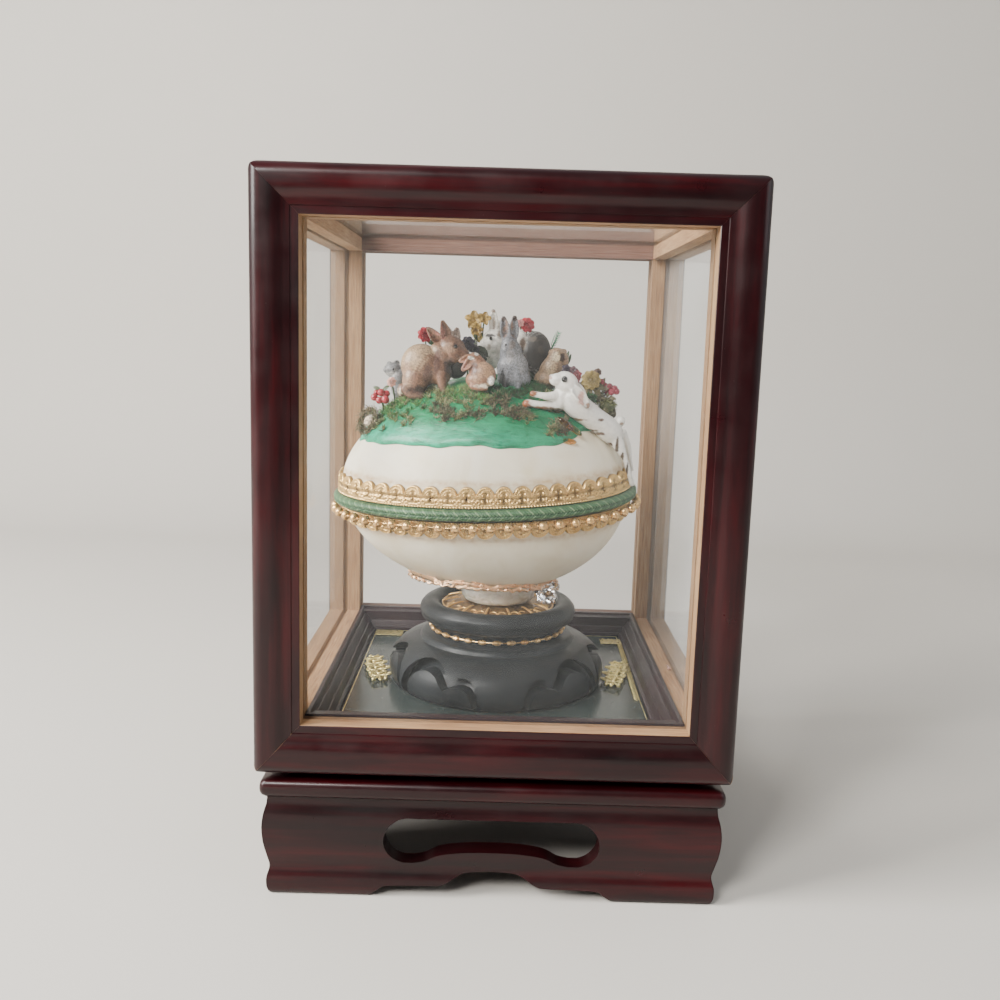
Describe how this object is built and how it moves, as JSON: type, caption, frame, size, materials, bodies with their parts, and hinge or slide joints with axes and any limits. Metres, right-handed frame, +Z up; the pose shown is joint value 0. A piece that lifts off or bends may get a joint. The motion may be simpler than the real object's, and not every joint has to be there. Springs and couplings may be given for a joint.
{
  "type": "decorated egg display",
  "caption": "Whole ostrich egg dressed with gilt trims and a spring scene, lying on a carved stand inside a small glazed display case with a bracket-footed base.",
  "frame": {"origin": "under the middle of the base, on the surface that its feet stand on", "axes": "+Z up, -Y out of the glazed front, +X to the right of someone who faces the front"},
  "size_m": [0.1988, 0.1988, 0.2995],
  "materials": {
    "lacquer_red": "semi-gloss burgundy lacquer",
    "raw_wood": "unfinished",
    "clear_glass": "polished",
    "lacquer_black": "satin black lacquer",
    "panel_green": "gloss",
    "gilt": "gilt",
    "pale_stone": "polished",
    "crystal": "faceted",
    "eggshell": "matt natural shell",
    "cord_green": "satin braid",
    "hill_paint": "brushed gloss paint",
    "moss_green": "dry moss",
    "fur_brown": "painted",
    "fur_rusty": "painted",
    "fur_dark": "painted",
    "fur_grey": "painted",
    "fur_tan": "painted",
    "white_glaze": "glazed",
    "petal_red": "satin",
    "petal_yellow": "satin",
    "petal_dark": "satin"
  },
  "bodies": {
    "root": {"base_top_board": "lacquer_red", "base_apron_front": "lacquer_red", "base_apron_right": "lacquer_red", "base_apron_back": "lacquer_red", "base_apron_left": "lacquer_red", "case_post_front_left": "lacquer_red", "case_post_back_left": "lacquer_red", "case_post_front_right": "lacquer_red", "case_post_back_right": "lacquer_red", "case_rail_top_front": "lacquer_red", "case_rail_top_back": "lacquer_red", "case_rail_top_left": "lacquer_red", "case_rail_top_right": "lacquer_red", "case_rail_bottom_front": "lacquer_red", "case_rail_bottom_back": "lacquer_red", "case_rail_bottom_left": "lacquer_red", "case_rail_bottom_right": "lacquer_red", "glass_front": "clear_glass", "glass_back": "clear_glass", "glass_left": "clear_glass", "glass_right": "clear_glass", "glass_top": "clear_glass", "floor_board": "raw_wood", "tray_frame": "lacquer_black", "tray_panel": "panel_green", "stand_body": "lacquer_black", "stand_bead_chain": "gilt", "egg_dish": "gilt", "egg_foot_ring": "pale_stone", "rhinestone": "crystal", "egg_garland": "gilt", "egg_shell": "eggshell", "braid_upper": "gilt", "cord_green": "cord_green", "bead_string": "gilt", "braid_lower": "gilt", "hill": "hill_paint", "rabbit_brown": "fur_brown", "rabbit_small_brown": "fur_rusty", "rabbit_white_brown": "fur_dark", "rabbit_grey": "fur_grey", "rabbit_tan": "fur_tan", "rabbit_leaping": "white_glaze", "animal_grey": "fur_grey", "rose_red_left": "petal_red", "rose_red_right": "petal_red", "daffodil": "petal_yellow", "rose_gold": "petal_yellow", "flower_dark": "petal_dark", "berries_left": "petal_red"}
  },
  "joints": []
}
